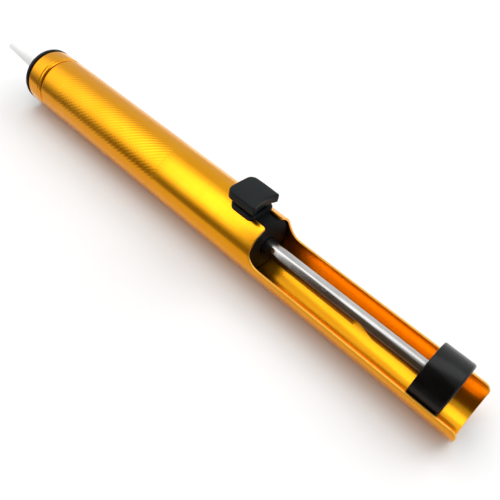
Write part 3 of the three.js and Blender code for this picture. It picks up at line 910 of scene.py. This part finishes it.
def guide_block_mesh():
    """The plug in the barrel, its neck in the slot, and the rounded head that laps the barrel."""
    plug = turned_mesh(
        "plug",
        [
            (85.1, 2.65, 0.2),
            (85.1, 8.5, 0.3),
            (104.4, 8.5, 0.3),
            (104.4, 2.65, 0.2),
        ],
        segments=128,
    )

    def outline(inset):
        return slab_outline(92.2, 101.0, 4.75, 1.9, 1.9, inset=inset)

    def lapped(s, w):
        return math.sqrt((TUBE_RADIUS + 0.15) ** 2 - w * w)

    rings = []
    for n in range(6):
        a = math.pi / 2 * n / 5
        height = HEAD_TOP - HEAD_ROUNDING * (1 - math.sin(a))
        rings.append([place(s, w, height) for s, w in outline(HEAD_ROUNDING * (1 - math.cos(a)))])
    rings.reverse()
    flat = outline(HEAD_ROUNDING)
    top = [scaled_ring(flat, share, lambda s, w: HEAD_TOP) for share in (0.35, 0.7)]
    under = [scaled_ring(outline(0.0), share, lapped) for share in (1.0, 0.75, 0.5, 0.25)]
    head = stacked_mesh("head", [*top, *rings, *under])
    neck = box_mesh("neck", SLOT_START + 0.3, 101.0, 3.0, 5.4, 9.8)
    stem_room = box_mesh("stem_room", 94.4, 100.0, 2.1, 4.0, 12.0)
    countersink = [[-9.5, 2.25], [-8.5, 2.25], [-7.5, 1.4], [-3.9, 1.4]]
    screw_room = standing_peg("screw_room", SCREW_AT, countersink)
    block = combined(
        "guide_plug",
        tidy_normals(plug),
        ("UNION", neck),
        ("UNION", head),
        ("DIFFERENCE", stem_room),
        ("DIFFERENCE", screw_room),
    )
    # Faces below the head, inside the tube, take the darker and duller block plastic as painted shade
    # for the tube's dark inside. The head above takes the plain black plastic.
    for face in block.polygons:
        face.material_index = 1 if face.center.z > AXIS_Z + HEAD_BOTTOM * MM else 0
    return block


finished(
    "guide_plug",
    guide_block_mesh(),
    [SHADED_BLOCK, PLASTIC],
    "barrel_body",
    "black_plastic",
    "guide_block",
)


def trigger_mesh():
    """The thumb pad: softly crowned, rounded all round, with a hollow rear edge and a lip there."""

    def outline(inset):
        return slab_outline(PAD_FRONT, PAD_REAR, PAD_HALF_WIDTH, 2.2, 0.8, hollow=1.1, inset=inset)

    def crown(s, w):
        dome = 0.22 * ((w / 5.0) ** 2 + ((s - 95.8) / 6.0) ** 2)
        lip = 0.18 * max(0.0, (s - 99.0) / 2.5) ** 2
        return PAD_TOP - min(dome, 0.5) + lip

    under_rounding = 0.3
    shell = []
    for n in range(7):
        a = math.pi / 2 * n / 6
        inset = PAD_ROUNDING * (1 - math.sin(a))
        drop = PAD_ROUNDING * (1 - math.cos(a))
        shell.append([place(s, w, crown(s, w) - drop) for s, w in outline(inset)])
    for n in range(5):
        a = math.pi / 2 * n / 4
        inset = under_rounding * (1 - math.cos(a))
        height = PAD_BOTTOM + under_rounding * (1 - math.sin(a))
        shell.append([place(s, w, height) for s, w in outline(inset)])
    face, base = outline(PAD_ROUNDING), outline(under_rounding)
    top = [scaled_ring(face, share, crown) for share in (0.1, 0.3, 0.5, 0.7, 0.88)]
    under = [scaled_ring(base, share, lambda s, w: PAD_BOTTOM) for share in (0.6, 0.2)]
    middle = np.mean(face, axis=0)
    pad = stacked_mesh("pad", [*top, *shell, *under], start_centre=place(*middle, crown(*middle)))
    stem = box_mesh("stem", 94.7, 99.7, 1.8, 5.6, PAD_BOTTOM + 0.6)
    slot = box_mesh("slot", 96.7, 98.1, 1.3, 4.0, 8.1)
    return combined("trigger_pad", pad, ("UNION", stem), ("DIFFERENCE", slot))


finished("trigger_pad", trigger_mesh(), [PLASTIC], "trigger", "black_plastic", "trigger_button")


def screw_mesh():
    body = standing_peg(
        "screw",
        SCREW_AT,
        [[-9.3, 1.75], [-9.24, 1.87], [-9.12, 1.95], [-8.8, 1.95], [-7.9, 1.1], [-4.2, 1.1]],
    )
    slot = box_mesh("driver_slot", SCREW_AT - 0.3, SCREW_AT + 0.3, 4.0, -10.5, -8.9)
    return combined("block_screw_head", body, ("DIFFERENCE", slot))


finished("block_screw_head", screw_mesh(), [ZINC], "barrel_body", "zinc_steel", "block_screw")


# ---- Springs --------------------------------------------------------------------------------

def coil_mesh(name, length, radius, wire, turns, sides=12, per_turn=40):
    """A spring along +Z from zero, its end turns closed against the next, in millimetres."""
    count = int(turns * per_turn)
    angles = [2 * math.pi * turns * k / count for k in range(count + 1)]
    heights = []
    for k in range(count + 1):
        turn_at = turns * k / count
        closed = min(turn_at, turns - turn_at, 1.0)
        side = 1 if turn_at > turns / 2 else -1
        plain = (length - 2 * wire) * turn_at / turns
        pull = 0.5 * (1 - closed) ** 2 * (length / turns - 2.2 * wire)
        heights.append(wire + plain + side * pull)
    floor, ceiling = min(heights), max(heights)
    heights = [wire + (h - floor) * (length - 2 * wire) / (ceiling - floor) for h in heights]
    rings = []
    for k, angle in enumerate(angles):
        out = Vector((math.cos(angle), math.sin(angle), 0))
        centre = out * radius + Vector((0, 0, heights[k]))
        ring = []
        for n in range(sides):
            b = 2 * math.pi * n / sides
            ring.append(tuple((centre + wire * (out * math.cos(b) + Vector((0, 0, math.sin(b))))) * MM))
        rings.append(ring)
    return stacked_mesh(name, rings)


spring_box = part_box("main_spring")
main_coil = coil_mesh("main_coil", (spring_box[1].x - spring_box[0].x) / MM, 6.35, 0.5, 15)
along_pump = Matrix.Rotation(math.pi / 2, 4, "Y")
main_coil.transform(Matrix.Translation((spring_box[0].x, 0, AXIS_Z)) @ along_pump)
piece = finished("main_coil", main_coil, [SPRING], "barrel_body", "spring_steel", "main_spring")
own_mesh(piece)

button_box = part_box("trigger_spring")
button_height = button_box[1].z - button_box[0].z
button_coil = coil_mesh("button_coil", button_height / MM, 1.45, 0.2, 4.5, per_turn=32)
button_coil.transform(Matrix.Translation(((button_box[0].x + button_box[1].x) / 2, 0, button_box[0].z)))
piece = finished("button_coil", button_coil, [SPRING], "barrel_body", "spring_steel", "trigger_spring")
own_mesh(piece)


# ---- Finishes of the nodes that stay --------------------------------------------------------

for node_name, material in (
    ("collar_seal", RUBBER),
    ("holder_seal", RUBBER),
    ("piston_seal", RUBBER),
    ("bumper_ring", RUBBER),
    ("piston", NYLON),
    ("piston_washer", ZINC),
    ("piston_nut", ZINC),
    ("latch_plate", ZINC),
    ("cleaning_pin", SPRING),
):
    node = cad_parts[node_name]
    for material_slot in node.material_slots:
        material_slot.material = material


# ---- Floor, light and surroundings ----------------------------------------------------------

def sheet(name, corners, material):
    """A flat sheet for the floor or a studio card."""
    mesh = bpy.data.meshes.new(name)
    mesh.from_pydata(corners, [], [[0, 1, 2, 3]])
    mesh.materials.append(material)
    item = bpy.data.objects.new(name, mesh)
    bpy.context.scene.collection.objects.link(item)
    return item


def floor_material():
    """Plain pale board with a faint unevenness."""
    n = Nodes("pale_floor")
    n.colour(n.mix(n.remap(n.noise(9, 3), 0.3, 0.7, 0, 1), (0.90, 0.895, 0.89), (0.93, 0.93, 0.93)))
    n.bump(n.noise(900, 2), 0.01, 0.1)
    return n.settings(Roughness=0.9, Specular_IOR_Level=0.1)


FLOOR_HALF = 3.0
floor_corners = [(FLOOR_HALF * x, FLOOR_HALF * y, 0.0) for x, y in ((-1, -1), (1, -1), (1, 1), (-1, 1))]
sheet("floor", floor_corners, floor_material())


def mirror_card(name, corners, colour):
    """A dim card that only reflections see, and that casts no shadow."""
    material = bpy.data.materials.new(name)
    material.use_nodes = True
    tree = material.node_tree
    tree.nodes.clear()
    emission = tree.nodes.new("ShaderNodeEmission")
    emission.inputs["Color"].default_value = (*colour, 1)
    output = tree.nodes.new("ShaderNodeOutputMaterial")
    tree.links.new(emission.outputs[0], output.inputs["Surface"])
    card = sheet(name, corners, material)
    for ray in ("camera", "diffuse", "transmission", "volume_scatter", "shadow"):
        setattr(card, "visible_" + ray, False)


def by_angle(slope, degrees, distance=1.0):
    """A point from its slope towards the nozzle and its angle from up towards +Y."""
    a = math.radians(degrees)
    return Vector((slope * distance, math.sin(a) * distance, AXIS_Z + math.cos(a) * distance))


def painted_floor_reflection(name, near, far, light):
    """A glowing strip just above the floor on the camera's side that only reflections see: a painted
    reflection of the floor, dimmer and warmer than the floor, as the barrel's near side mirrors it.
    """
    lift = 0.0004
    corners = [(-1, near, lift), (1, near, lift), (1, far, lift), (-1, far, lift)]
    mirror_card(name, corners, tuple(share * light for share in WARM))


# WARM tints the painted floor reflections. The near strip is a painted reflection of shaded floor
# beside the barrel, and the strip beyond it is a darker painted reflection.
WARM = (1.08, 0.97, 0.8)
FLOOR_DIMS_AT = 0.036
painted_floor_reflection("near_floor_painted_reflection", 0.0105, FLOOR_DIMS_AT, 0.68)
painted_floor_reflection("dim_floor_painted_reflection", FLOOR_DIMS_AT, 1.0, 0.19)

# A dim glowing card that only reflections see: a painted reflection of a dim room behind the camera,
# which the rod, knob and trough mirror. Its upper edge rises towards the nozzle. Angles are from
# straight up towards the camera's side, in degrees.
ROOM_DISTANCE = 0.3
ROOM_TAIL, ROOM_NOSE = -1.6, 0.23
ROOM_TOP_TAIL, ROOM_TOP_NOSE, ROOM_BOTTOM = 60, 10, 97
mirror_card(
    "dim_room_painted_reflection",
    [
        by_angle(ROOM_TAIL, ROOM_TOP_TAIL, ROOM_DISTANCE),
        by_angle(ROOM_NOSE, ROOM_TOP_NOSE, ROOM_DISTANCE),
        by_angle(ROOM_NOSE, ROOM_BOTTOM, ROOM_DISTANCE),
        by_angle(ROOM_TAIL, ROOM_BOTTOM, ROOM_DISTANCE),
    ],
    (0.075, 0.042, 0.018),
)


def soft_light(name, towards, distance, size, radiance, aim=(0, 0, 0), glossy=True, diffuse=True):
    """A rectangular softbox, placed by direction from the point that it faces."""
    direction = towards.normalized()
    data = bpy.data.lights.new(name, "AREA")
    data.shape = "RECTANGLE"
    data.size, data.size_y = size
    data.energy = radiance * math.pi * size[0] * size[1]
    light = bpy.data.objects.new(name, data)
    light.location = Vector(aim) + direction * distance
    light.rotation_mode = "QUATERNION"
    light.rotation_quaternion = direction.to_track_quat("Z", "Y")
    light.visible_glossy = glossy
    light.visible_diffuse = diffuse
    bpy.context.scene.collection.objects.link(light)


def heading(slope, degrees):
    """The direction of a point that by_angle gives, seen from the pump's axis."""
    return by_angle(slope, degrees) - Vector((0, 0, AXIS_Z))


soft_light("key", heading(0.5, -12), 0.7, (0.5, 0.4), 2.5, glossy=False)
soft_light("far_fill", heading(-0.3, -50), 0.8, (0.6, 0.5), 2.2, glossy=False)
soft_light("overhead", heading(0.1, -5), 0.5, (0.5, 0.22), 1.25, aim=(-0.06, 0, 0), diffuse=False)


def surroundings():
    """A pale room, with a wide bright window on the camera's side towards the nozzle."""
    world = bpy.data.worlds.new("room")
    bpy.context.scene.world = world
    world.use_nodes = True
    tree = world.node_tree
    tree.nodes.clear()
    coordinates = tree.nodes.new("ShaderNodeTexCoord")
    split = tree.nodes.new("ShaderNodeSeparateXYZ")
    tree.links.new(coordinates.outputs["Generated"], split.inputs[0])

    def eased(source, low, high, to_low, to_high):
        node = tree.nodes.new("ShaderNodeMapRange")
        node.interpolation_type = "SMOOTHSTEP"
        for name, value in (
            ("From Min", low),
            ("From Max", high),
            ("To Min", to_low),
            ("To Max", to_high),
        ):
            node.inputs[name].default_value = value
        tree.links.new(source, node.inputs["Value"])
        return node.outputs["Result"]

    def maths(operation, a, b):
        node = tree.nodes.new("ShaderNodeMath")
        node.operation = operation
        tree.links.new(a, node.inputs[0])
        tree.links.new(b, node.inputs[1])
        return node.outputs[0]

    # The window's brightness across its height, by angle from straight up.
    angle = maths("ARCTAN2", split.outputs["Y"], split.outputs["Z"])
    rising = eased(angle, math.radians(-25), math.radians(32), 0.0, 1.0)
    falling = eased(angle, math.radians(48), math.radians(96), 1.75, 0.0)
    window = maths("MULTIPLY", rising, falling)
    # By how far a direction leans towards the nozzle: the window is dark below a small lean,
    # brightest just past it, and gone where the direction runs along the pump.
    slope = split.outputs["X"]
    along = maths("MULTIPLY", eased(slope, 0.35, 0.43, 0, 1), eased(slope, 0.46, 0.70, 1.5, 0.55))
    reach = maths("MULTIPLY", along, eased(slope, 0.82, 0.97, 1, 0))
    # The plain room, dimmer on the camera's side. Its far side is lighter where the window is dark.
    room = eased(split.outputs["Y"], -0.25, 0.8, 0.70, 0.24)
    beyond = eased(split.outputs["Y"], -0.7, -0.2, 0.3, 0)
    far_wall = maths("MULTIPLY", beyond, eased(slope, 0.36, 0.44, 1, 0))
    strength = maths("ADD", maths("MULTIPLY", window, reach), maths("ADD", room, far_wall))
    background = tree.nodes.new("ShaderNodeBackground")
    output = tree.nodes.new("ShaderNodeOutputWorld")
    tree.links.new(strength, background.inputs["Strength"])
    background.inputs["Color"].default_value = (1.0, 1.0, 1.0, 1)
    tree.links.new(background.outputs[0], output.inputs["Surface"])


surroundings()
